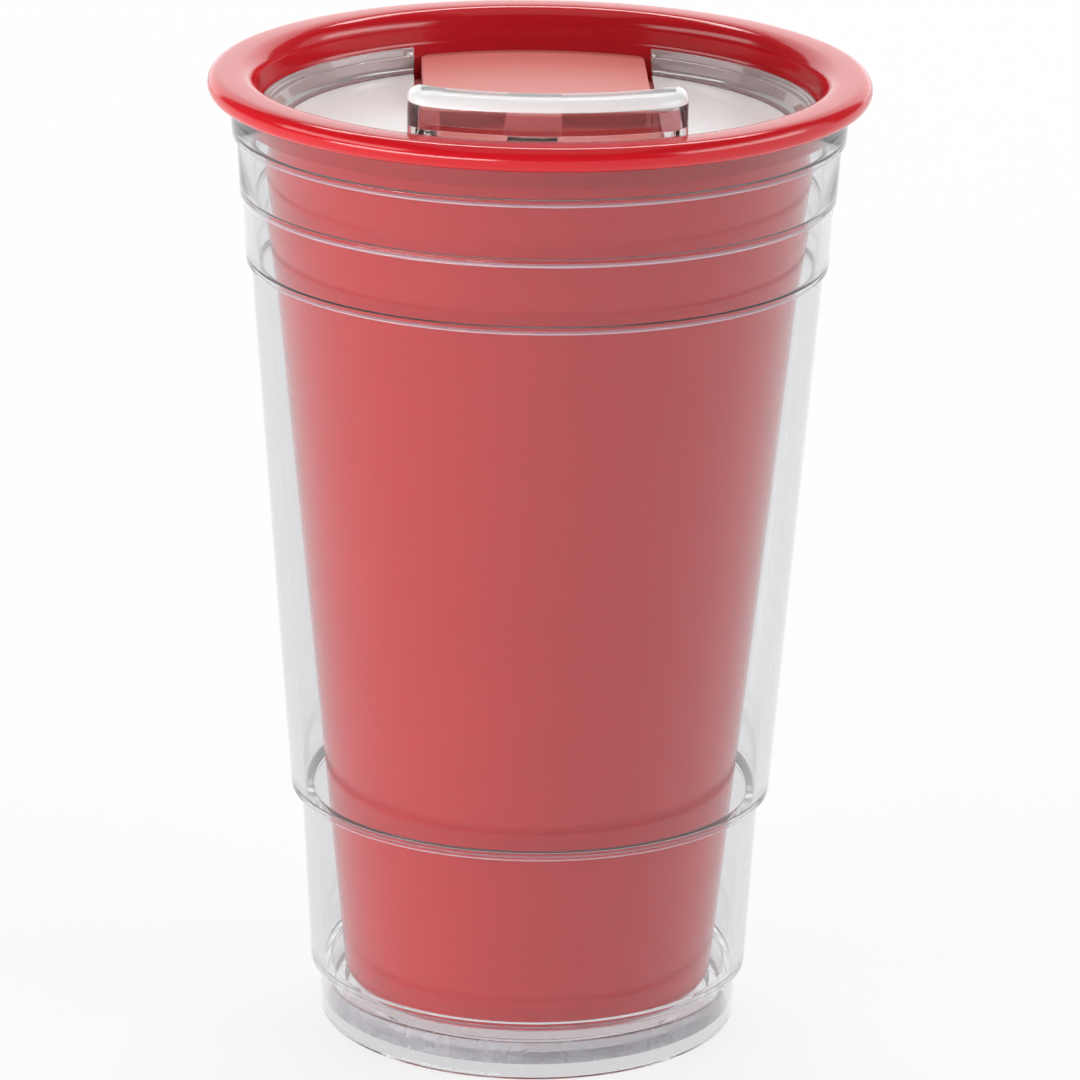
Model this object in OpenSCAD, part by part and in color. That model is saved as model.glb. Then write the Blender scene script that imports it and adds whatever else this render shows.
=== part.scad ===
// Double wall tumbler: a clear stepped outer shell, a coloured inner cup with a rolled lip,
// and a clear drop-in lid with a raised drinking spout and a thumb slider.
// The base centre is at the origin, +Z runs up to the lip, and the spout faces -Y.

/* [Cup] */
// Height from the table to the top of the lip
cup_h = 152; // [145:0.5:160]
// How far the rolled lip stands out past the top of the shell
lip_overhang = 3.4; // [3:0.1:4]
// Height of the rolled lip
lip_h = 3.8; // [3.4:0.1:4.4]
// Radius that rounds the lip's inner edge into the mouth
lip_inner_r = 2.8; // [2:0.1:3.2]
// Wall between the mouth's bore and the welding collar
mouth_wall = 1.9; // [1.7:0.1:2.3]

/* [Inner cup] */
// Width of the ledge under the welding collar
collar_step = 2.5; // [2.1:0.1:3]
// Gap between the inner cup's bottom and the wall of the foot
liner_foot_gap = 2.1; // [2:0.1:5]
// Height of the inner cup's underside above the table
liner_lift = 6; // [5.7:0.1:9]
// Wall of the inner cup
liner_wall = 1.5; // [1.2:0.05:1.8]
// Floor of the inner cup
liner_floor = 1.8; // [1.4:0.1:3]
// Radius round the inner cup's bottom edge
liner_edge_r = 3; // [2:0.1:4]
// Height of the welding collar under the lip
collar_h = 3.3; // [2.6:0.1:4]
// Gap round the welding collar
collar_fit = 0.1; // [0.05:0.01:0.2]
// Depth below the lip's top at which the lid's cone seat starts
seat_drop = 5; // [4.4:0.1:5.6]
// Height of the lid's cone seat
seat_h = 3.8; // [3.2:0.1:4.4]

/* [Outer shell] */
// Wall of the clear shell
shell_wall = 1.8; // [1.4:0.1:2]
// Diameter of the foot at the table
foot_d = 65.2; // [60:0.2:72]
// Height of the foot band
foot_h = 8.6; // [7.5:0.1:12]
// Radius on the foot's two edges
foot_edge_r = 0.5; // [0.3:0.05:0.7]
// Width of the ledge above the foot band
skirt_step = 1.25; // [1:0.05:1.5]
// Height at which the tall body band starts
skirt_top = 37.7; // [30:0.5:45]
// Width of the ledge under the tall body band
body_step = 1.6; // [1.2:0.1:1.8]
// Growth in radius per millimetre of height on the tall body band
body_draft = 0.075; // [0.065:0.001:0.085]
// Width of the lowest ring's ledge
ring1_step = 0.75; // [0.5:0.05:1]
// Width of the middle ring's ledge
ring2_step = 0.4; // [0.3:0.05:0.8]
// Width of the highest ring's ledge
ring3_step = 0.7; // [0.5:0.05:1]
// Depth of the lowest ring's ledge below the lip's top
ring1_drop = 29.5; // [26:0.1:34]
// Depth of the middle ring's ledge below the lip's top
ring2_drop = 19; // [17:0.1:22]
// Depth of the highest ring's ledge below the lip's top
ring3_drop = 9.7; // [8.8:0.1:12]
// Growth in radius per millimetre of height on the short bands
band_draft = 0.055; // [0.03:0.005:0.06]
// Radius on the edges of the ledges
ledge_r = 0.4; // [0.2:0.05:0.5]

/* [Base plug] */
// Height of the plug's underside above the table
plug_lift = 2.2; // [1.5:0.1:3]
// Thickness of the plug's disc
plug_t = 1.6; // [1.2:0.1:2.4]
// Height of the plug's welding rim, measured with the disc
plug_rim_h = 3.6; // [3:0.1:4]
// Width of the plug's welding rim
plug_rim_w = 2; // [1.5:0.1:2.6]
// Gap round the plug
plug_fit = 0.1; // [0.05:0.01:0.15]

/* [Lid] */
// Gap between the lid and the inner cup
lid_fit = 0.4; // [0.3:0.05:0.5]
// Depth of the lid's rim below the lip's top
lid_sink = 5.3; // [5:0.1:5.8]
// Height of the lid's rim above the deck
rim_h = 3.5; // [3:0.1:3.8]
// Width of the lid's rim
rim_w = 1.4; // [1.2:0.1:1.7]
// Depth of the bead step inside the rim
rim_step_h = 1; // [0.6:0.1:1.4]
// Width of the bead step inside the rim
rim_step_w = 0.5; // [0.3:0.05:0.6]
// Thickness of the lid's deck
deck_t = 1.8; // [1.5:0.1:2.2]
// Length of the plug skirt below the deck
skirt_h = 7; // [6.4:0.1:9]
// Wall of the plug skirt
skirt_wall = 2.4; // [2.2:0.1:2.8]
// Space between the plug skirt and the inner cup at the skirt's lower edge
skirt_gap = 1; // [0.8:0.1:1.3]

/* [Lid seal] */
// Height of the seal ring
seal_h = 3; // [2.6:0.1:3.4]
// Depth of the groove that holds the seal ring
seal_groove = 1.1; // [0.9:0.05:1.3]
// Height of the seal ring above the skirt's lower edge
seal_lift = 1.6; // [1.2:0.1:2]
// Gap between the seal ring's lips and the inner cup
seal_fit = 0.25; // [0.2:0.05:0.35]

/* [Slide channel] */
// Width of the channel in the deck
channel_w = 37.4; // [36:0.1:38.4]
// Depth of the channel's floor below the deck
channel_depth = 2.3; // [2.1:0.1:2.5]
// Thickness of the channel's floor
channel_floor = 1.5; // [1.2:0.1:1.7]
// Height of the grooves that hold the slider's runners
groove_h = 1.3; // [1.2:0.05:1.4]
// Depth of the grooves into the channel's sides
groove_w = 1.3; // [1.1:0.1:1.5]
// Wall outside the grooves
rail_wall = 1.4; // [1.1:0.1:1.6]

/* [Spout] */
// How far the spout's sides stand outside the channel
spout_side = 1.9; // [1.8:0.1:2.4]
// Height of the spout above the lip's top
spout_rise = 5.8; // [5:0.1:7]
// Height of the spout's overhanging nose
nose_h = 5.5; // [4.6:0.1:5.6]
// Reach of the nose past the mouth's bore
nose_reach = 1; // [0.6:0.1:1.3]
// Depth of the nose from front to back
nose_depth = 4.8; // [4.4:0.1:5.4]
// Radius in plan on the nose's front corners
nose_corner_r = 5; // [4:0.2:5.6]
// Radius on the nose's top front edge
nose_edge_r = 2; // [1:0.1:2.4]
// Radius in plan on the corners of the spout's walls
spout_corner_r = 2; // [1:0.1:3]
// Wall of the spout
spout_wall = 1.8; // [1.5:0.1:2]
// Room inside the spout from front to back
spout_room = 8.6; // [8:0.1:9.2]
// Height of the spout's back wall below the nose's top
spout_back_drop = 4.4; // [3.6:0.1:6]
// Width of the drinking slot
slot_w = 25; // [20:0.5:28]
// Length of the drinking slot from front to back
slot_l = 6; // [5:0.1:6.4]

/* [Thumb slider] */
// Side gap between the slider and the channel
slider_gap = 1.1; // [0.9:0.1:1.3]
// Height of the slider's thumb pad above the deck
pad_rise = 2.2; // [1.8:0.1:2.8]
// Distance of the pad's front edge behind the cup's axis
pad_front = 8; // [4:0.5:12]
// Radius on the pad's corners
pad_corner_r = 2.5; // [1.5:0.1:4]
// Thickness of the pad's top
pad_t = 1.7; // [1.4:0.1:2]
// Wall of the slider's sides
slider_wall = 1.6; // [1.3:0.1:2]
// Thickness of the slider's tongue and runners
runner_t = 0.95; // [0.8:0.05:1]
// Gap under and beside the runners
runner_fit = 0.15; // [0.1:0.01:0.17]
// Travel of the slider from open to closed
slide_travel = 10; // [9.5:0.1:10.4]

/* [Hidden] */
$fn = 180;
clear_color = [0.93, 0.94, 0.95, 0.35];
seal_color = [0.9, 0.9, 0.9, 0.6];
red_color = [0.8, 0.12, 0.14];
pad_color = [0.82, 0.3, 0.28];
over = 1;        // how far a cutting shape runs past what it cuts
arc_steps = 8;   // straight pieces in a rounded edge of a profile
nose_posts = 12; // steps along the nose's front

lip_under = cup_h - lip_h;
lip_r = lip_h / 2;
collar_z = lip_under - collar_h;
seat_top = cup_h - seat_drop;
seat_low = seat_top - seat_h;
liner_in_z = liner_lift + liner_floor;

// The shell's bands from the foot up: lower end, upper end, width of the ledge below, draft
BAND_LOW = [0, foot_h, skirt_top, cup_h - ring1_drop, cup_h - ring2_drop, cup_h - ring3_drop];
BAND_STEP = [0, skirt_step, body_step, ring1_step, ring2_step, ring3_step];
BAND_DRAFT = [band_draft, band_draft, body_draft, band_draft, band_draft, band_draft];
last_band = len(BAND_LOW) - 1;
// Outer radius at a band's lower end, and at a height on that band
function band_r(i) = i == 0 ? foot_d / 2 : band_r_at(i - 1, BAND_LOW[i]) + BAND_STEP[i];
function band_r_at(i, z) = band_r(i) + BAND_DRAFT[i] * (z - BAND_LOW[i]);
shell_top_r = band_r_at(last_band, lip_under);
foot_in_r = foot_d / 2 - shell_wall;
collar_r = band_r_at(last_band, collar_z) - shell_wall - collar_fit;
lip_mid_r = shell_top_r + lip_overhang - lip_r;
mouth_r = collar_r - mouth_wall;
liner_top_r = collar_r - collar_step;
liner_base_r = foot_in_r - liner_foot_gap;

lid_top = cup_h - lid_sink;
deck_z = lid_top - rim_h;
deck_under = deck_z - deck_t;
skirt_low = deck_under - skirt_h;
skirt_r = bore_r(skirt_low) - skirt_gap;
seal_low = skirt_low + seal_lift;
seal_r = bore_r(seal_low) - seal_fit;
lid_under_r = bore_r(deck_z - channel_depth - channel_floor) - lid_fit;

floor_z = deck_z - channel_depth;
floor_under = floor_z - channel_floor;
channel_x = channel_w / 2;
groove_x = channel_x + groove_w;
rail_x = groove_x + rail_wall;
groove_top = floor_z + groove_h;

nose_top = cup_h + spout_rise;
nose_low = nose_top - nose_h;
nose_r = mouth_r + nose_reach;
nose_back_r = nose_r - nose_depth;
spout_x = channel_x + spout_side;
spout_out_r = mouth_r - lid_fit;
spout_back_r = nose_back_r - spout_room - spout_wall;
spout_back_top = nose_top - spout_back_drop;
slot_out_r = skirt_r - skirt_wall - runner_fit;

pad_top = deck_z + pad_rise;
pad_r = seat_r(deck_z) - lid_fit;
pad_top_r = seat_r(pad_top) - lid_fit;
pad_x = channel_x - slider_gap;
runner_low = floor_z + runner_fit;
runner_top = runner_low + runner_t;
runner_x = groove_x - runner_fit;
tongue_r = nose_back_r - 2 * lid_fit;

// Outer and inner radius of the inner cup's tapered wall at a height
function liner_r(z) = liner_base_r
    + (liner_top_r - liner_base_r) * (z - liner_lift) / (collar_z - liner_lift);
function bore_r(z) = liner_r(z) - liner_wall;
// Radius of the cone seat at a height
function seat_r(z) = bore_r(seat_low) + (mouth_r - bore_r(seat_low)) * (z - seat_low) / seat_h;
// Points along an arc
function arc(x, y, r, a0, a1, n = arc_steps) =
    [for (i = [0:n]) let (a = a0 + (a1 - a0) * i / n) [x + r * cos(a), y + r * sin(a)]];
// Centre of a corner circle that touches the line x = w and the inside of a circle of radius R
function corner_y(R, w, c) = sqrt(pow(R - c, 2) - pow(w - c, 2));

// A ledge between two bands as seen in the section, with its lower and upper edges rounded
function ledge(z, r0, r1) = let (e = min(ledge_r, (r1 - r0) / 2.2)) concat(
    arc(r0 + e, z - e, e, 180, 90, 4), arc(r1 - e, z + e, e, 270, 360, 4));

// All the shell's ledges: shift lifts the inner ones, inset moves them to the inner wall
function band_ledges(shift, inset) = [for (i = [1:last_band])
    each ledge(BAND_LOW[i] + shift, band_r_at(i - 1, BAND_LOW[i]) - inset, band_r(i) - inset)];

module ring(r_out, r_in, z0, z1) {
    translate([0, 0, z0]) difference() {
        cylinder(r = r_out, h = z1 - z0);
        translate([0, 0, -over]) cylinder(r = r_in, h = z1 - z0 + 2 * over);
    }
}

module slab(x, y0, y1, z0, z1) {
    translate([-x, y0, z0]) cube([2 * x, y1 - y0, z1 - z0]);
}

module outer_shell() {
    outside = concat(
        arc(foot_d / 2 - foot_edge_r, foot_edge_r, foot_edge_r, -90, 0, 4),
        band_ledges(0, 0),
        [[shell_top_r, lip_under]]);
    inside = concat(
        arc(foot_in_r + foot_edge_r, foot_edge_r, foot_edge_r, 270, 180, 4),
        band_ledges(shell_wall / 2, shell_wall),
        [[shell_top_r - shell_wall, lip_under]]);
    back = [for (i = [len(inside) - 1:-1:0]) inside[i]];
    color(clear_color) rotate_extrude() polygon(concat(outside, back));
}

module base_plug() {
    plug_r = foot_in_r + band_draft * plug_lift - plug_fit;
    color(clear_color) union() {
        translate([0, 0, plug_lift]) cylinder(r = plug_r, h = plug_t);
        ring(plug_r, plug_r - plug_rim_w, plug_lift, plug_lift + plug_rim_h);
    }
}

module inner_cup() {
    in_r = liner_edge_r - liner_wall / 2;
    outside = concat(
        [[0, liner_lift]],
        arc(liner_base_r - liner_edge_r, liner_lift + liner_edge_r, liner_edge_r, -90, 0),
        [[liner_r(collar_z), collar_z], [collar_r, collar_z], [collar_r, lip_under]]);
    lip = concat(
        arc(lip_mid_r, cup_h - lip_r, lip_r, -90, 90, 2 * arc_steps),
        arc(mouth_r + lip_inner_r, cup_h - lip_inner_r, lip_inner_r, 90, 180));
    inside = concat(
        [[mouth_r, seat_top], [bore_r(seat_low), seat_low]],
        arc(bore_r(liner_in_z) - in_r, liner_in_z + in_r, in_r, 0, -90),
        [[0, liner_in_z]]);
    color(red_color) rotate_extrude() polygon(concat(outside, lip, inside));
}

// Section of the lid's rim and deck, without the channel
module rim_section() {
    top_r = seat_r(lid_top) - lid_fit;
    low_r = seat_r(deck_z) - lid_fit;
    step_z = lid_top - rim_step_h;
    step_r = top_r - rim_w * rim_step_h / rim_h;
    polygon([
        [0, deck_under], [lid_under_r, deck_under], [low_r, deck_z], [top_r, lid_top],
        [top_r - rim_w / 2, lid_top], [step_r - rim_w / 2, step_z],
        [step_r - rim_w / 2 - rim_step_w, step_z], [low_r - rim_w, deck_z], [0, deck_z]]);
}

// Plan of the spout: straight back, front concentric with the cup, front corners rounded
module spout_plan(R, c) {
    cy = corner_y(R, spout_x, c);
    phi = atan2(cy, spout_x - c);
    mirror([0, 1]) polygon(concat(
        [[spout_x, spout_back_r]],
        arc(spout_x - c, cy, c, 0, phi),
        arc(0, 0, R, phi, 180 - phi, 4 * arc_steps),
        arc(c - spout_x, cy, c, 180 - phi, 180),
        [[-spout_x, spout_back_r]]));
}

// The spout as a solid block: its walls inside the mouth and the nose that overhangs the lip
module spout_block() {
    intersection() {
        translate([0, 0, deck_under]) linear_extrude(nose_low - deck_under)
            spout_plan(spout_out_r, spout_corner_r);
        rotate_extrude() polygon([
            [0, deck_under], [lid_under_r, deck_under], [seat_r(deck_z) - lid_fit, deck_z],
            [seat_r(lid_top) - lid_fit, lid_top], [spout_out_r, seat_top], [spout_out_r, nose_low],
            [0, nose_low]]);
    }
    nose();
}

// An upright post with a rounded top edge, of which the nose is drawn together
module nose_post(r, x, y) {
    translate([x, y, 0]) rotate_extrude($fn = 48) polygon(concat(
        [[0, nose_low], [r, nose_low]],
        arc(r - nose_edge_r, nose_top - nose_edge_r, nose_edge_r, 0, 90, 6),
        [[0, nose_top]]));
}

// The nose: front concentric with the cup, front corners and the whole top edge rounded
module nose() {
    post_r = nose_r - nose_corner_r;
    cy = corner_y(nose_r, spout_x, nose_corner_r);
    phi = atan2(cy, spout_x - nose_corner_r);
    back_x = spout_x - nose_edge_r;
    intersection() {
        hull() {
            for (i = [0:nose_posts]) {
                a = phi + (180 - 2 * phi) * i / nose_posts;
                nose_post(nose_corner_r, post_r * cos(a), -post_r * sin(a));
            }
            nose_post(nose_edge_r, back_x, -spout_back_r + nose_edge_r);
            nose_post(nose_edge_r, -back_x, -spout_back_r + nose_edge_r);
        }
        slab(spout_x + over, -nose_r - over, -spout_back_r, nose_low, nose_top + over);
    }
}

// What is cut from the spout: the room inside it and the slope from the nose down to the back wall
module spout_room_cut() {
    room_back_y = -spout_back_r - spout_wall;
    slope_y = -nose_back_r + nose_depth;
    intersection() {
        slab(spout_x - spout_wall, -nose_r, room_back_y, floor_z, nose_top + over);
        cylinder(r = nose_back_r, h = nose_top + over);
    }
    translate([-spout_x - over, 0, 0]) rotate([90, 0, 90]) linear_extrude(2 * (spout_x + over)) polygon([
        [slope_y, nose_top + over], [slope_y, nose_top], [room_back_y, spout_back_top],
        [-spout_back_r + over, spout_back_top], [-spout_back_r + over, nose_top + over]]);
}

module lid_body() {
    color(clear_color) difference() {
        union() {
            difference() {
                rotate_extrude() rim_section();
                // the rim is open across the channel at the back
                slab(channel_x, 0, mouth_r, deck_z, lid_top + over);
            }
            ring(skirt_r, skirt_r - skirt_wall, skirt_low, deck_z - deck_t / 2);
            intersection() {
                translate([0, 0, floor_under]) cylinder(r = lid_under_r, h = deck_z - floor_under);
                slab(rail_x, -mouth_r, mouth_r, floor_under, deck_z);
            }
            spout_block();
        }
        spout_room_cut();
        // the channel, up to the spout's back wall
        slab(channel_x, -spout_back_r, mouth_r, floor_z, deck_z + over);
        // the grooves, which run on under the spout
        intersection() {
            slab(groove_x, -mouth_r, mouth_r, floor_z, groove_top);
            union() {
                cylinder(r = tongue_r + lid_fit, h = cup_h);
                slab(groove_x, 0, mouth_r, floor_z, groove_top);
            }
        }
        // the drinking slot
        intersection() {
            slab(slot_w / 2, -mouth_r, 0, floor_under - over, floor_z + over);
            ring(slot_out_r, slot_out_r - slot_l, floor_under - over, floor_z + over);
        }
        // the groove that holds the seal ring
        ring(skirt_r + over, skirt_r - seal_groove, seal_low, seal_low + seal_h);
    }
}

module lid_seal() {
    lip_t = seal_h / 3;
    groove_r = skirt_r - seal_groove;
    seal_top = seal_low + seal_h;
    color(seal_color) rotate_extrude() polygon([
        [groove_r, seal_low], [skirt_r, seal_low],
        [seal_r, seal_low + lip_t / 2], [seal_r, seal_low + lip_t],
        [skirt_r + seal_fit, seal_low + seal_h / 2],
        [seal_r, seal_top - lip_t], [seal_r, seal_top - lip_t / 2],
        [skirt_r, seal_top], [groove_r, seal_top]]);
}

// Plan of the thumb pad: straight front edge, back edge concentric with the cup
module pad_plan(R, w, y0) {
    cy = corner_y(R, w, pad_corner_r);
    phi = atan2(cy, w - pad_corner_r);
    polygon(concat(
        arc(w - pad_corner_r, y0 + pad_corner_r, pad_corner_r, -90, 0),
        arc(w - pad_corner_r, cy, pad_corner_r, 0, phi),
        arc(0, 0, R, phi, 180 - phi, 4 * arc_steps),
        arc(pad_corner_r - w, cy, pad_corner_r, 180 - phi, 180),
        arc(pad_corner_r - w, y0 + pad_corner_r, pad_corner_r, 180, 270)));
}

module thumb_slider() {
    inner_y = pad_front + slider_wall;
    color(pad_color) difference() {
        union() {
            intersection() {
                translate([0, 0, runner_low]) linear_extrude(pad_top - runner_low)
                    pad_plan(pad_top_r, pad_x, pad_front);
                rotate_extrude() polygon([
                    [0, runner_low], [lid_under_r, runner_low], [lid_under_r, deck_z], [pad_r, deck_z],
                    [pad_top_r, pad_top], [0, pad_top]]);
            }
            // the tongue and the two runners
            intersection() {
                slab(runner_x, -mouth_r, mouth_r, runner_low, runner_top);
                translate([0, slide_travel, 0]) cylinder(r = tongue_r, h = cup_h);
                cylinder(r = lid_under_r, h = cup_h);
            }
        }
        // the pad is hollow underneath
        intersection() {
            slab(pad_x - slider_wall, inner_y, mouth_r, runner_low - over, pad_top - pad_t);
            cylinder(r = lid_under_r - slider_wall, h = cup_h);
        }
    }
}

outer_shell();
base_plug();
inner_cup();
lid_body();
lid_seal();
thumb_slider();
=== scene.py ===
"""Looks of the double wall tumbler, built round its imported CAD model, as its parts go together."""

import math

import bmesh
import bpy
from mathutils import Matrix, Vector


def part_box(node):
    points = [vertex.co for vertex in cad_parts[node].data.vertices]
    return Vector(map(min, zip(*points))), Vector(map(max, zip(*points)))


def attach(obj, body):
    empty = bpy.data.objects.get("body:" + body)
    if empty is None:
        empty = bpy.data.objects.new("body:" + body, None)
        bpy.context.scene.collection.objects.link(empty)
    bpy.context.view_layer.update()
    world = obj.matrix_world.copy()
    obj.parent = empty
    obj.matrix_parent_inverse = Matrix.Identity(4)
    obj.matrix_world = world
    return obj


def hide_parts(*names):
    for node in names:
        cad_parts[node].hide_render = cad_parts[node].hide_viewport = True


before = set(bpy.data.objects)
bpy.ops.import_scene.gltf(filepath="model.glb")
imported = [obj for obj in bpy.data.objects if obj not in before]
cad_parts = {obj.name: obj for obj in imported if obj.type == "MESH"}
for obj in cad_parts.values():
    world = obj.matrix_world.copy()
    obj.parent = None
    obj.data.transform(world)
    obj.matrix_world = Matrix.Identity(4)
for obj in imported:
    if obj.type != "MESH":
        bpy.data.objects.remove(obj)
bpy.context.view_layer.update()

# Outer shell
# One clear styrene moulding, polished in the mould, with a ledge between each two of its bands.
# It is open at the bottom, and its top edge is welded under the inner cup's lip. A pale violet band is
# painted over each ledge, a painted highlight for the light its tight corners catch.
MM = 0.001
TURNS = 288
shell_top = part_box("outer_shell")[1].z / MM
lip_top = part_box("inner_cup")[1].z / MM
foot_r = 32.6
shell_wall = 1.8
ledge_rise = shell_wall / 2
# Lower end of each band, width of the ledge below it, growth in radius per millimetre
shell_bands = [
    (0, 0, 0.055),
    (8.6, 1.25, 0.055),
    (37.7, 1.6, 0.075),
    (lip_top - 29.5, 0.75, 0.055),
    (lip_top - 19, 0.4, 0.055),
    (lip_top - 9.7, 0.7, 0.055),
]


def turned(name, outline, closed=True):
    """A piece turned round the cup's axis from corners of (radius, height, rounding) in millimetres."""
    work = bmesh.new()
    corners = [work.verts.new((r * MM, 0, z * MM)) for r, z, _ in outline]
    for here, there in zip(corners, corners[1:] + corners[:1] if closed else corners[1:]):
        work.edges.new((here, there))
    for corner, (_, _, rounding) in zip(corners, outline):
        if rounding:
            bmesh.ops.bevel(
                work,
                geom=[corner],
                offset=rounding * MM,
                offset_type="OFFSET",
                affect="VERTICES",
                segments=6,
                profile=0.5,
                material=-1,
            )
    bmesh.ops.spin(
        work,
        geom=work.verts[:] + work.edges[:],
        cent=(0, 0, 0),
        axis=(0, 0, 1),
        angle=math.tau,
        steps=TURNS,
        use_merge=True,
    )
    return finished(name, work)


def finished(name, work, crease=50):
    """Closes the seams, turns the faces outwards and makes the object, smooth up to the crease angle."""
    bmesh.ops.remove_doubles(work, verts=work.verts, dist=0.001 * MM)
    bmesh.ops.recalc_face_normals(work, faces=work.faces)
    mesh = bpy.data.meshes.new(name)
    work.to_mesh(mesh)
    work.free()
    mesh.shade_smooth()
    mesh.set_sharp_from_angle(angle=math.radians(crease))
    piece = bpy.data.objects.new(name, mesh)
    bpy.context.scene.collection.objects.link(piece)
    return piece


class Field:
    """A number that changes over a surface. Sums, products and the rest add their Math nodes."""

    def __init__(self, finish, socket):
        self.finish = finish
        self.socket = socket

    def _math(self, operation, first, second=0.0, third=0.0):
        values = {0: first, 1: second, 2: third}
        return self.finish.node("ShaderNodeMath", {"operation": operation}, values)[0]

    def __add__(self, other):
        return self._math("ADD", self, other)

    __radd__ = __add__

    def __mul__(self, other):
        return self._math("MULTIPLY", self, other)

    __rmul__ = __mul__

    def __sub__(self, other):
        return self._math("SUBTRACT", self, other)

    def __rsub__(self, other):
        return self._math("SUBTRACT", other, self)

    def __truediv__(self, other):
        return self._math("DIVIDE", self, other)

    def clipped(self):
        return self._math("MINIMUM", self._math("MAXIMUM", self, 0.0), 1.0)

    def above(self, level, blur):
        """0 below the level, 1 above it, with a soft step of the given width."""
        return ((self - level) / blur + 0.5).clipped()

    def between(self, low, high, blur):
        return self.above(low, blur) * (1 - self.above(high, blur))


class Finish:
    """A material: one Principled shader, its fixed values, and the fields that drive the rest."""

    def __init__(self, name, **values):
        self.material = bpy.data.materials.new(name)
        self.material.use_nodes = True
        self.tree = self.material.node_tree
        self.tree.nodes.clear()
        self.shader = self.tree.nodes.new("ShaderNodeBsdfPrincipled")
        self.out = self.tree.nodes.new("ShaderNodeOutputMaterial")
        self.tree.links.new(self.shader.outputs[0], self.out.inputs["Surface"])
        for words, value in values.items():
            self.feed(self.shader, words.replace("_", " "), value)

    def feed(self, node, name, value):
        socket = node.inputs[name]
        if isinstance(value, Field):
            self.tree.links.new(value.socket, socket)
        else:
            socket.default_value = value

    def node(self, kind, settings, values):
        """Adds a node, sets its settings, then its inputs. Its outputs come back as fields."""
        made = self.tree.nodes.new(kind)
        for name, value in settings.items():
            setattr(made, name, value)
        for name, value in values.items():
            self.feed(made, name, value)
        return [Field(self, socket) for socket in made.outputs]

    def place(self, stretch=(1, 1, 1)):
        """Object coordinates in metres, stretched along each axis."""
        spot = self.node("ShaderNodeTexCoord", {}, {})[3]
        return self.node("ShaderNodeMapping", {}, {"Vector": spot, "Scale": stretch})[0]

    def axes(self):
        """Height, distance from the cup's axis and distance from its middle plane, in millimetres."""
        x, y, z = self.node("ShaderNodeSeparateXYZ", {}, {0: self.place((1 / MM,) * 3)})
        radius = x._math("SQRT", x * x + y * y)
        return z, radius, x._math("ABSOLUTE", x)

    def noise(self, scale, detail=3.0, stretch=(1, 1, 1)):
        values = {"Vector": self.place(stretch), "Scale": scale, "Detail": detail}
        return self.node("ShaderNodeTexNoise", {}, values)[0]

    def blend(self, low, high, field):
        """A colour that runs from low to high with the field."""
        return self.node("ShaderNodeMix", {"data_type": "RGBA"}, {0: field, 6: low, 7: high})[2]

    def shade(self, low, high, field):
        return self.blend((*low, 1), (*high, 1), field)

    def bumps(self, height, depth):
        """Small relief, its depth in millimetres where the height field is 1."""
        values = {"Height": height, "Distance": depth * MM, "Strength": 1.0}
        self.feed(self.shader, "Normal", self.node("ShaderNodeBump", {}, values)[0])

    def covered(self, amount, kind="ShaderNodeBsdfPrincipled", **values):
        """Lays a second shader over the first, fully where the amount is 1."""
        cover = self.tree.nodes.new(kind)
        for words, value in values.items():
            self.feed(cover, words.replace("_", " "), value)
        blend = self.tree.nodes.new("ShaderNodeMixShader")
        self.feed(blend, 0, amount)
        self.tree.links.new(self.shader.outputs[0], blend.inputs[1])
        self.tree.links.new(cover.outputs[0], blend.inputs[2])
        self.tree.links.new(blend.outputs[0], self.out.inputs["Surface"])


def dress(piece, body, finish):
    """Gives a piece its material, and says what it rides on."""
    piece.data.materials.clear()
    piece.data.materials.append(finish.material)
    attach(piece, body)


def shell_outline():
    outer = []
    radius = foot_r
    tops = [low for low, _, _ in shell_bands[1:]] + [shell_top]
    for (low, ledge, draft), top in zip(shell_bands, tops):
        radius += ledge
        outer.append((radius, low, 0.35))
        radius += draft * (top - low)
        outer.append((radius, top, 0.2))
    inner = [(r - shell_wall, z + ledge_rise, rounding) for r, z, rounding in reversed(outer)]
    inner[0] = (inner[0][0], shell_top, 0.1)
    inner[-1] = (inner[-1][0], 0, 0.35)
    return outer + inner


clear_plastic = Finish(
    "clear polished plastic",
    Base_Color=(0.95, 0.952, 0.962, 1),
    Transmission_Weight=1.0,
    IOR=1.49,
)
mould_haze = clear_plastic.noise(60, stretch=(1, 1, 0.25))
clear_plastic.feed(clear_plastic.shader, "Roughness", mould_haze.above(0.62, 0.3) * 0.02)
clear_plastic.bumps(clear_plastic.noise(22, 2.0, (1, 1, 0.12)), 0.05)
height = clear_plastic.axes()[0]
# Painted highlight: a pale violet cover over each ledge stands in for the light its tight corners catch.
painted_ledge_lines = 0.0
for low, _, _ in shell_bands[1:]:
    painted_ledge_lines = height.between(low - 0.05, low + 0.35, 0.15) + painted_ledge_lines
clear_plastic.covered(painted_ledge_lines.clipped() * 0.4, Base_Color=(0.74, 0.71, 0.82, 1), Roughness=0.2)
shell = turned("clear_shell", shell_outline())
dress(shell, "cup", clear_plastic)
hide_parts("outer_shell")

# Base plug
# A clear disc with a short upstanding rim, pressed into the foot from below and bonded there.
# The cured bond leaves fine bubbles and a cool milky haze on the rim's outer face.
plug_low, plug_high = (corner.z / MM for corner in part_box("base_plug"))
plug_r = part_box("base_plug")[1].x / MM
plug_t = 1.6
plug_rim_w = 2
plug = turned(
    "base_plug_clear",
    [
        (0, plug_low, 0),
        (plug_r, plug_low, 0.25),
        (plug_r, plug_high, 0.25),
        (plug_r - plug_rim_w, plug_high, 0.25),
        (plug_r - plug_rim_w, plug_low + plug_t, 0.4),
        (0, plug_low + plug_t, 0),
    ],
    closed=False,
)
bond = Finish("bonded clear plastic", Transmission_Weight=1.0, IOR=1.49)
radius = bond.axes()[1]
bubbles = bond.node("ShaderNodeTexVoronoi", {}, {"Vector": bond.place(), "Scale": 900.0})[0]
bubble_dots = 1 - bubbles.above(0.28, 0.12)
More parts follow.
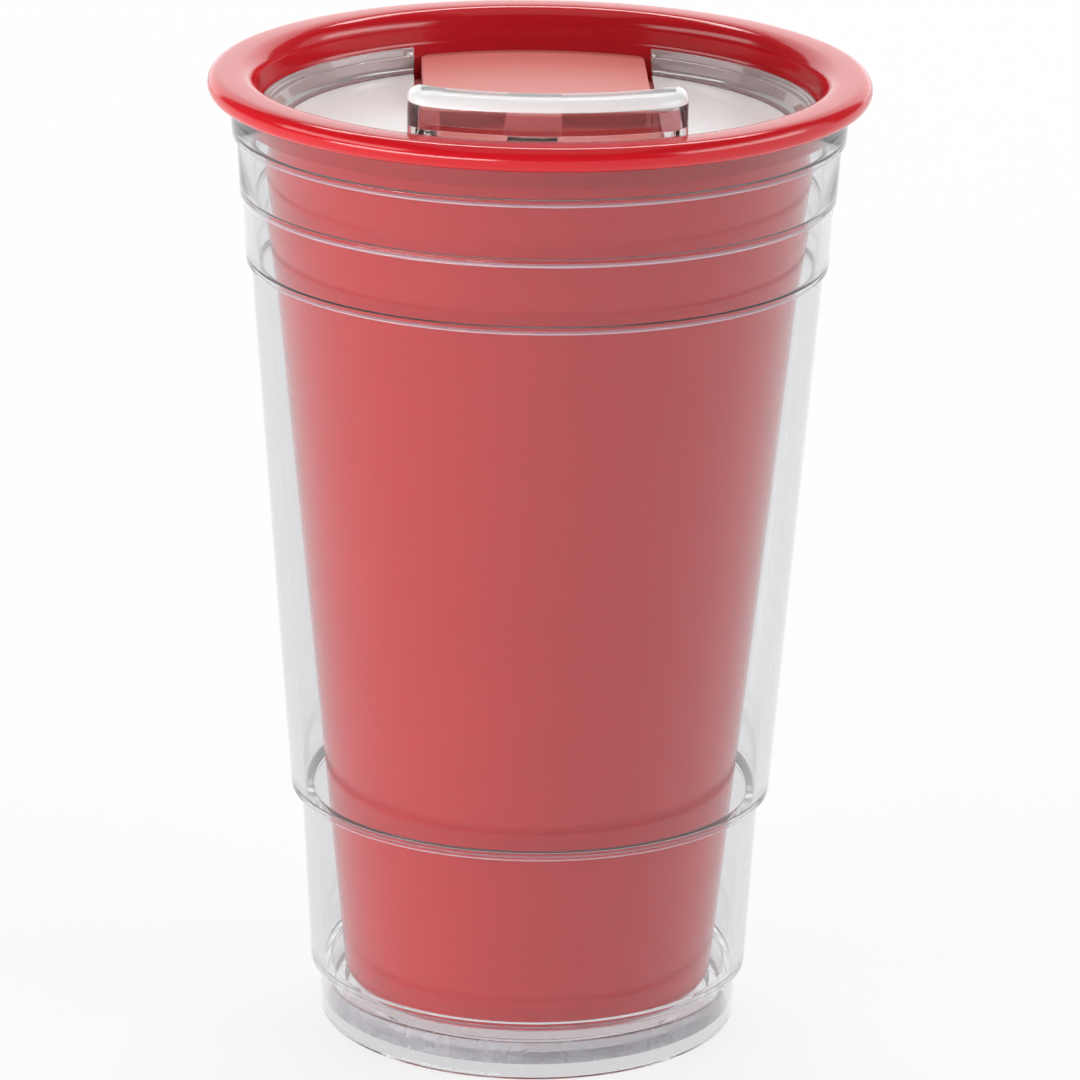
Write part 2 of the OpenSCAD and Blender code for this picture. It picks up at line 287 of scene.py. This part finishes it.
bonded = radius.above(plug_r - 0.4, 0.3)
streaks = bond.noise(160, 4.0, (1, 1, 0.4))
bond_colour = bond.shade((0.97, 0.98, 0.99), (0.78, 0.82, 0.93), bonded * streaks)
bond.feed(bond.shader, "Base Color", bond_colour)
bond.feed(bond.shader, "Roughness", bonded * (0.12 + 0.3 * streaks))
bond.bumps(bubble_dots * bonded, 0.12)
bond.covered(
    bonded * (0.35 + 0.5 * streaks), Base_Color=(0.86, 0.83, 0.88, 1), Roughness=0.25 + 0.2 * streaks
)
dress(plug, "cup", bond)
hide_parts("base_plug")

# Inner cup
# One glossy red moulding with a rolled lip, a collar for the shell's weld and a cone seat for the lid.
# The wall below the collar, seen through the clear shell, is painted a lighter red than the lip as
# painted light, making up for the light the shell takes; both are one moulding.
cup_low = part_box("inner_cup")[0].z / MM
lip_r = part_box("inner_cup")[1].x / MM
lip_h = 3.8
collar_r, collar_z = 45.06, lip_top - 7.1
mouth_r, seat_z = 43.16, lip_top - 5
wall_top_r, wall_foot_r = 42.56, 28.7
cup_wall, cup_floor = 1.5, 1.8
seat_h, corner_r, inner_corner_r, lip_inner_r = 3.8, 3, 2.25, 2.8


def cup_wall_r(z):
    return wall_foot_r + (wall_top_r - wall_foot_r) * (z - cup_low) / (collar_z - cup_low)


cup = turned(
    "red_inner_cup",
    [
        (0, cup_low, 0),
        (wall_foot_r, cup_low, corner_r),
        (wall_top_r, collar_z, 0.2),
        (collar_r, collar_z, 0.3),
        (collar_r, lip_top - lip_h, 0),
        (lip_r, lip_top - lip_h, lip_h / 2),
        (lip_r, lip_top, lip_h / 2),
        (mouth_r, lip_top, lip_inner_r),
        (mouth_r, seat_z, 0.4),
        (cup_wall_r(seat_z - seat_h) - cup_wall, seat_z - seat_h, 0.4),
        (cup_wall_r(cup_low + cup_floor) - cup_wall, cup_low + cup_floor, inner_corner_r),
        (0, cup_low + cup_floor, 0),
    ],
    closed=False,
)
red_gloss = Finish("glossy red plastic", IOR=1.5)
pigment = red_gloss.noise(35, 4.0)
# Painted light: below the collar the red is lighter than on the lip, making up for the light the clear
# shell takes.
lip_zone = red_gloss.axes()[0].above(collar_z, 1.0)
lip_red = red_gloss.shade((0.58, 0.003, 0.01), (0.62, 0.006, 0.014), pigment)
wall_red_painted_lighter = red_gloss.shade((0.76, 0.022, 0.029), (0.8, 0.03, 0.037), pigment)
red_gloss.feed(red_gloss.shader, "Base Color", red_gloss.blend(wall_red_painted_lighter, lip_red, lip_zone))
grain = red_gloss.noise(420, 3.0)
red_gloss.feed(red_gloss.shader, "Roughness", 0.11 + 0.08 * grain)
red_gloss.bumps(red_gloss.noise(30, 2.0, (1, 1, 0.3)), 0.04)
dress(cup, "cup", red_gloss)
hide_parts("inner_cup")

# Lid body
# One clear moulding: deck, flared rim, slide channel, plug skirt and the raised spout.
# The deck's top is frosted in the mould, the rim is faintly hazy, and the rest is polished. The spout's
# top rounding is covered whitish as a painted highlight, and its front has a dark red painted into its
# colour, standing in for the shaded red cup and slider seen through it.


def softened(name, node, rounding, low):
    """A copy of a CAD node's mesh, merged, its outer corners above the height low rounded."""
    corner_turn = math.radians(50)
    work = bmesh.new()
    work.from_mesh(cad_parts[node].data)
    bmesh.ops.remove_doubles(work, verts=work.verts, dist=0.01 * MM)
    bmesh.ops.dissolve_limit(
        work, angle_limit=math.radians(0.5), verts=work.verts, edges=work.edges
    )
    sharp = []
    for edge in work.edges:
        room = min(near.calc_length() for end in edge.verts for near in end.link_edges)
        roomy = room > 2 * rounding * MM
        above = min(end.co.z for end in edge.verts) > low * MM
        if above and roomy and edge.is_convex and edge.calc_face_angle() > corner_turn:
            sharp.append(edge)
    bmesh.ops.bevel(
        work,
        geom=sharp,
        offset=rounding * MM,
        offset_type="OFFSET",
        affect="EDGES",
        segments=3,
        profile=0.5,
        material=-1,
        loop_slide=True,
    )
    piece = finished(name, work, crease=35)
    flats = piece.modifiers.new("flat faces stay flat", "WEIGHTED_NORMAL")
    flats.keep_sharp = True
    return piece


deck_z = lip_top - 8.8
lid_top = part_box("lid_body")[1].z / MM
nose_r, nose_edge_r, spout_x = 44.16, 2, 20.6
lid = softened("clear_lid", "lid_body", 0.25, deck_z - 0.1)
lid_clear = Finish(
    "clear lid plastic",
    Roughness=0.03,
    Transmission_Weight=1.0,
    IOR=1.49,
)
lid_clear.bumps(lid_clear.noise(45, 2.0), 0.05)
height, radius, across = lid_clear.axes()
deck_r, rim_h = 39, 3.7
frosted_deck = height.between(deck_z - 0.15, deck_z + 0.15, 0.1) * (1 - radius.above(deck_r, 0.3))
outer_edge = radius.above(nose_r - nose_edge_r, 0.3) + across.above(spout_x - nose_edge_r, 0.3)
# Painted highlight: the spout's top rounding gets a nearly opaque whitish cover, mixed in with the real
# frost of the deck and rim.
painted_spout_highlight = height.above(lid_top - nose_edge_r + 0.1, 0.2) * outer_edge.clipped()
rim_haze = height.between(deck_z + 0.1, deck_z + rim_h, 0.2) * radius.above(deck_r - 0.5, 0.3)
frost_and_painted_highlight = (frosted_deck * 0.96 + painted_spout_highlight * 0.9 + rim_haze * 0.3).clipped()
nose_front = height.between(deck_z + 1, lid_top - nose_edge_r, 1.0) * radius.above(nose_r - 0.5, 0.3)
# Painted reflection: the spout's front is tinted dark red, standing in for the shaded red cup and slider
# seen through it.
painted_red_cast = lid_clear.shade((0.97, 0.965, 0.965), (0.35, 0.06, 0.07), nose_front)
lid_clear.feed(lid_clear.shader, "Base Color", painted_red_cast)
sparkle = lid_clear.noise(1500, 2.0)
lid_clear.covered(frost_and_painted_highlight, Base_Color=(0.88, 0.87, 0.87, 1), Roughness=0.2 + 0.1 * sparkle)
dress(lid, "lid", lid_clear)
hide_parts("lid_body")

# Lid seal
# A soft translucent silicone ring with two lips, snapped into the groove of the plug skirt.
seal_low, seal_high = (corner.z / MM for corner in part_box("lid_seal"))
seal_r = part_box("lid_seal")[1].x / MM
groove_r, skirt_r = 37.93, 39.03
seal_lip_t = 0.5
seal_mid = (seal_low + seal_high) / 2
seal = turned(
    "silicone_seal",
    [
        (groove_r, seal_low, 0.1),
        (skirt_r, seal_low, 0.1),
        (seal_r, seal_low + seal_lip_t, 0.2),
        (seal_r, seal_low + 2 * seal_lip_t, 0.2),
        (skirt_r + 0.25, seal_mid, 0.15),
        (seal_r, seal_high - 2 * seal_lip_t, 0.2),
        (seal_r, seal_high - seal_lip_t, 0.2),
        (skirt_r, seal_high, 0.1),
        (groove_r, seal_high, 0.1),
    ],
)
silicone = Finish("translucent silicone", IOR=1.41, Transmission_Weight=0.5)
cloud = silicone.noise(120, 3.0)
silicone_colour = silicone.shade((0.82, 0.82, 0.81), (0.9, 0.9, 0.89), cloud)
silicone.feed(silicone.shader, "Base Color", silicone_colour)
silicone.feed(silicone.shader, "Roughness", 0.4 + 0.15 * cloud)
dress(seal, "lid", silicone)
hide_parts("lid_seal")

# Thumb slider
# One red moulding with a satin pad and a tongue that covers the drinking slot.
# Its runners slide in the grooves beside the lid's channel.
slider = softened("red_thumb_slider", "thumb_slider", 0.15, 0)
red_satin = Finish("satin red plastic", IOR=1.5)
pad_pigment = red_satin.noise(50, 4.0)
# The pad's paler pinkish red is partly the satin's own colour and partly a painted sheen for the
# backdrop's grazing reflection.
pad_red_and_painted_sheen = red_satin.shade((0.7, 0.19, 0.165), (0.74, 0.215, 0.185), pad_pigment)
red_satin.feed(red_satin.shader, "Base Color", pad_red_and_painted_sheen)
spark = red_satin.noise(2600, 2.0)
red_satin.feed(red_satin.shader, "Roughness", 0.3 + 0.1 * spark)
red_satin.bumps(spark, 0.012)
dress(slider, "slider", red_satin)
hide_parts("thumb_slider")

# Studio
# A pale floor that runs out of the picture, soft lamps and the photograph's camera.
# The floor is plain white where it is seen or mirrored, and light grey through the clear plastic.
floor_mesh = bpy.data.meshes.new("studio_floor")
work = bmesh.new()
bmesh.ops.create_grid(work, x_segments=1, y_segments=1, size=6)
work.to_mesh(floor_mesh)
work.free()
floor = bpy.data.objects.new("studio_floor", floor_mesh)
bpy.context.scene.collection.objects.link(floor)
floor_paint = Finish("white floor", Base_Color=(0.85, 0.85, 0.85, 1), Roughness=0.9)
rays = floor_paint.node("ShaderNodeLightPath", {}, {})
from_camera, from_gloss, through_clear = rays[0], rays[3], rays[6]
direct = (from_camera + from_gloss).clipped() * (1 - through_clear)
floor_paint.covered(
    direct * 0.8 + through_clear * 0.9,
    "ShaderNodeEmission",
    Color=floor_paint.shade((0.73, 0.73, 0.735), (1, 1, 1), direct),
)
floor.data.materials.append(floor_paint.material)

world = bpy.data.worlds.new("studio")
world.use_nodes = True
world.node_tree.nodes["Background"].inputs["Color"].default_value = (0.15, 0.15, 0.15, 1)
bpy.context.scene.world = world


def softbox(name, azimuth, rise, distance, wide, tall, radiance, aim=0.08):
    """A lamp turned to the height aim on the cup's axis; azimuth 0 is the camera's side, 90 its right."""
    lamp = bpy.data.lights.new(name, "AREA")
    lamp.shape = "RECTANGLE"
    lamp.size = wide
    lamp.size_y = tall
    lamp.energy = math.pi * wide * tall * radiance
    holder = bpy.data.objects.new(name, lamp)
    a = math.radians(azimuth)
    place = Vector((math.sin(a) * distance, -math.cos(a) * distance, rise))
    holder.location = place
    holder.rotation_euler = (Vector((0, 0, aim)) - place).to_track_quat("-Z", "Y").to_euler()
    bpy.context.scene.collection.objects.link(holder)


softbox("strip_left", -75, 0.62, 1.3, 1.3, 0.42, 3.5)
softbox("strip_right", 75, 0.62, 1.3, 1.3, 0.42, 4.2)
softbox("strip_top", 180, 1.5, 0.9, 1.6, 0.25, 11)
softbox("backdrop", 180, 0.85, 1.7, 2.6, 1.6, 1.3, aim=0.85)
softbox("roof", 0, 2.0, 0.3, 1.6, 1.6, 0.5)
softbox("wall_right", 80, 0.75, 1.7, 2.4, 1.4, 0.8, aim=0.75)
softbox("low_left", -45, 0.075, 0.8, 0.9, 0.13, 12)

camera = bpy.data.objects.new("camera", bpy.data.cameras.new("camera"))
camera.data.sensor_width = 36
camera.data.lens = 207.1
camera.data.clip_start = 0.05
camera.data.clip_end = 50
heading, pitch, roll = math.radians(-2), math.radians(90 - 17.5), math.radians(0.86)
turn = Matrix.Rotation(heading, 4, "Z") @ Matrix.Rotation(pitch, 4, "X") @ Matrix.Rotation(roll, 4, "Z")
camera.matrix_world = Matrix.Translation(Vector((-31.15, -921.07, 367.7)) * MM) @ turn
bpy.context.scene.collection.objects.link(camera)
bpy.context.scene.camera = camera
bpy.context.scene.view_settings.view_transform = "Standard"
